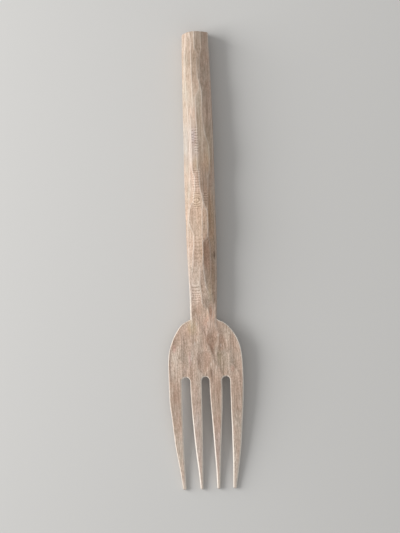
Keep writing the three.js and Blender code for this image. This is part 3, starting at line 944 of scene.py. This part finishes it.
def makeWood():
    material = bpy.data.materials.new("paleFruitwood")
    material.use_nodes = True
    tree = material.node_tree
    shader = tree.nodes["Principled BSDF"]
    shader.inputs["Specular IOR Level"].default_value = wood["gloss"]

    def add(kind, inputs=(), **settings):
        node = tree.nodes.new(kind)
        for name, value in settings.items():
            setattr(node, name, value)
        for socket, value in dict(inputs).items():
            if isinstance(value, bpy.types.NodeSocket):
                tree.links.new(value, node.inputs[socket])
            else:
                node.inputs[socket].default_value = value
        return node

    def maths(operation, a, b=0.0, c=0.0):
        return add("ShaderNodeMath", {0: a, 1: b, 2: c}, operation=operation).outputs[0]

    def vectorMaths(operation, a, b):
        return add("ShaderNodeVectorMath", {0: a, 1: b}, operation=operation).outputs[0]

    def grain(scale, detail, offset):  # noise drawn out along the fork
        place = add("ShaderNodeMapping", {"Vector": wavy, "Scale": scale, "Location": offset}).outputs[0]
        settings = {"Vector": place, "Scale": 1.0, "Detail": detail, "Roughness": wood["grainRough"]}
        return add("ShaderNodeTexNoise", settings).outputs["Fac"]

    def ramp(share, stops):
        node = add("ShaderNodeValToRGB", {"Fac": share})
        elements = node.color_ramp.elements
        for element, (place, colour) in zip(elements, (stops[0], stops[-1])):
            element.position = place
            element.color = colour
        for place, colour in stops[1:-1]:
            elements.new(place).color = colour
        return node.outputs["Color"]

    def mapRange(value, run, **settings):
        return add("ShaderNodeMapRange", dict(enumerate((value, *run))), **settings).outputs[0]

    def mixColour(kind, share, a, b):
        node = add("ShaderNodeMix", {0: share, 6: a, 7: b}, data_type="RGBA", blend_type=kind)
        return node.outputs[2]

    def painted(name, output="Fac"):
        return add("ShaderNodeAttribute", attribute_name=name).outputs[output]

    def vary(value, pattern, share):  # value times 1 + share * (pattern - 0.5)
        change = maths("SUBTRACT", pattern, 0.5)
        return maths("MULTIPLY", value, maths("MULTIPLY_ADD", change, share, 1.0))

    coords = add("ShaderNodeTexCoord").outputs["Object"]
    toMillimetres = (1 / mm, 1 / mm, 1 / mm)
    inMillimetres = add("ShaderNodeMapping", {"Vector": coords, "Scale": toMillimetres}).outputs[0]
    slow = add("ShaderNodeMapping", {"Vector": inMillimetres, "Scale": wood["drift"]}).outputs[0]
    driftNoise = {"Vector": slow, "Scale": 1.0, "Detail": wood["driftDetail"]}
    wander = add("ShaderNodeTexNoise", driftNoise).outputs["Color"]
    shift = vectorMaths("MULTIPLY", vectorMaths("SUBTRACT", wander, (0.5, 0.5, 0.5)), wood["driftBy"])
    wavy = vectorMaths("ADD", inMillimetres, shift)
    noise = {name: grain(*settings) for name, settings in wood["grain"].items()}

    # base colour and the tone of the grain
    hues = ramp(noise["mottle"], wood["hues"])
    colour = mixColour("MULTIPLY", 1.0, ramp(noise["bands"], wood["bands"]), hues)
    lengthwise = add("ShaderNodeSeparateXYZ", {0: inMillimetres}).outputs["Y"]
    tone = vary(1.0, noise["streaks"], mapRange(lengthwise, wood["streakShare"]))
    for name, share in wood["shares"].items():
        tone = vary(tone, noise[name], share)
    fleckShares = [mapRange(lengthwise, wood[name]) for name in ("fleckShare", "gripFlecks")]
    tone = vary(tone, noise["flecks"], maths("MULTIPLY", *fleckShares))

    # chatter marks
    waver = maths("MULTIPLY", maths("SUBTRACT", noise["speckle"], 0.5), wood["waver"])
    marks = maths("COSINE", maths("MULTIPLY_ADD", painted("chatterTurns"), 2 * math.pi, waver))
    marks = mapRange(marks, (wood["markFrom"], 1.0, 0.0, 1.0), interpolation_type="SMOOTHSTEP")
    chatter = painted("chatter")
    marks = maths("MULTIPLY", marks, chatter)
    lifted = maths("MULTIPLY_ADD", chatter, wood["markLift"], 1.0)
    tone = maths("MULTIPLY", tone, maths("MULTIPLY_ADD", marks, -wood["markDark"], lifted))

    # rings of the eye
    across = grainEye["squeeze"]
    eyeMiddle = (-across * grainEye["x"], grainEye["along"] - endY, 0)
    eyeFrame = {"Vector": inMillimetres, "Scale": (across, 1, 0), "Location": eyeMiddle}
    fromEye = add("ShaderNodeMapping", eyeFrame).outputs[0]
    ring = add("ShaderNodeVectorMath", {0: fromEye}, operation="LENGTH").outputs["Value"]
    unsteady = maths("MULTIPLY", waver, grainEye["waver"])
    ring = maths("COSINE", maths("MULTIPLY_ADD", ring, 2 * math.pi / grainEye["ringGap"], unsteady))
    rings = mapRange(ring, (wood["markFrom"], 1.0, grainEye["light"], grainEye["dark"]))
    tone = maths("MULTIPLY", tone, maths("MULTIPLY_ADD", rings, painted("inEye"), 1.0))

    toned = [maths("POWER", tone, power) for power in wood["tonePowers"]]
    grainColour = add("ShaderNodeCombineColor", dict(enumerate(toned))).outputs[0]
    colour = mixColour("MULTIPLY", 1.0, colour, grainColour)
    colour = mixColour("MULTIPLY", 1.0, colour, painted("tint", "Color"))
    # pale edges and ridges: worn wood and painted highlights, mixed towards one pale colour
    wearAndHighlight = vary(painted("wearAndHighlight"), noise["speckle"], wood["wearAndHighlightPatches"])
    colour = mixColour("MIX", maths("MULTIPLY", wearAndHighlight, wood["wearAndHighlightShare"]), colour, wood["wornAndHighlightColour"])
    tree.links.new(colour, shader.inputs["Base Color"])

    rough = maths("MULTIPLY_ADD", noise["streaks"], wood["streakRough"], wood["rough"])
    tree.links.new(rough, shader.inputs["Roughness"])
    height = maths("MULTIPLY", marks, wood["bump"]["marks"])
    for name in ("fibres", "speckle"):
        height = maths("MULTIPLY_ADD", noise[name], wood["bump"][name], height)
    bumpSettings = {"Strength": wood["bumpStrength"], "Distance": wood["bumpDistance"], "Height": height}
    tree.links.new(add("ShaderNodeBump", bumpSettings).outputs[0], shader.inputs["Normal"])
    return material


print("making the wood")
forkPiece.data.materials.append(makeWood())


# Floor, light and camera
studio = {
    "floorSize": 3.0,
    "floorDrop": -0.0001,  # a hair under the flat that the fork rests on
    "floorColour": (0.6, 0.592, 0.575, 1),
    "floorRough": 0.85,
    "worldStrength": 0.5,
    "keyPower": 19.0,
    "keySize": 0.95,
    "keyFrom": (-1.08, 0.22, 0.5),
}
photo = {
    "size": (400, 533),
    "forkMiddle": (202.25, 261.0),  # pixel of the fork's origin
    "mmPerPixel": 0.6543,
    "tilt": 1.92,  # degrees, handle end to the left
    "distance": 1500.0,  # camera above the fork's middle plane
    "plane": 9.0,
    "sensor": 24.0,
}

print("setting up the floor, light and camera")
floorMesh = bpy.data.meshes.new("floor")
half = studio["floorSize"] / 2
corners = [(-half, -half), (half, -half), (half, half), (-half, half)]
floorMesh.from_pydata([(x, y, studio["floorDrop"]) for x, y in corners], [], [(0, 1, 2, 3)])
floor = addObject("floor", floorMesh)
floorPaint = bpy.data.materials.new("floorPaint")
floorPaint.use_nodes = True
paint = floorPaint.node_tree.nodes["Principled BSDF"].inputs
paint["Base Color"].default_value = studio["floorColour"]
paint["Roughness"].default_value = studio["floorRough"]
floorMesh.materials.append(floorPaint)

world = bpy.data.worlds.new("studio")
world.use_nodes = True
sky = world.node_tree.nodes["Background"].inputs
sky["Color"].default_value = (1, 1, 1, 1)
sky["Strength"].default_value = studio["worldStrength"]
scene.world = world


def aim(obj, target):
    obj.rotation_euler = (Vector(target) - obj.location).to_track_quat("-Z", "Y").to_euler()


key = bpy.data.lights.new("key", "AREA")
key.energy = studio["keyPower"]
key.size = studio["keySize"]
keyLamp = addObject("key", key)
keyLamp.location = studio["keyFrom"]
aim(keyLamp, (0, 0, 0))

lens = bpy.data.cameras.new("photoView")
lens.sensor_fit = "VERTICAL"
imageWide, imageTall = photo["size"]
viewTall = imageTall * photo["mmPerPixel"]
lens.sensor_height = photo["sensor"]
lens.lens = photo["sensor"] * photo["distance"] / viewTall
camera = addObject("photoView", lens)
forkX, forkY = photo["forkMiddle"]
offset = Vector((imageWide / 2 - forkX, forkY - imageTall / 2, 0))
turn = Matrix.Rotation(math.radians(-photo["tilt"]), 3, "Z")
spot = turn @ (offset * photo["mmPerPixel"])
camera.location = (spot.x * mm, spot.y * mm, (photo["plane"] + photo["distance"]) * mm)
camera.rotation_euler = (0, 0, math.radians(-photo["tilt"]))
scene.camera = camera
bpy.context.scene.view_settings.view_transform = "Standard"
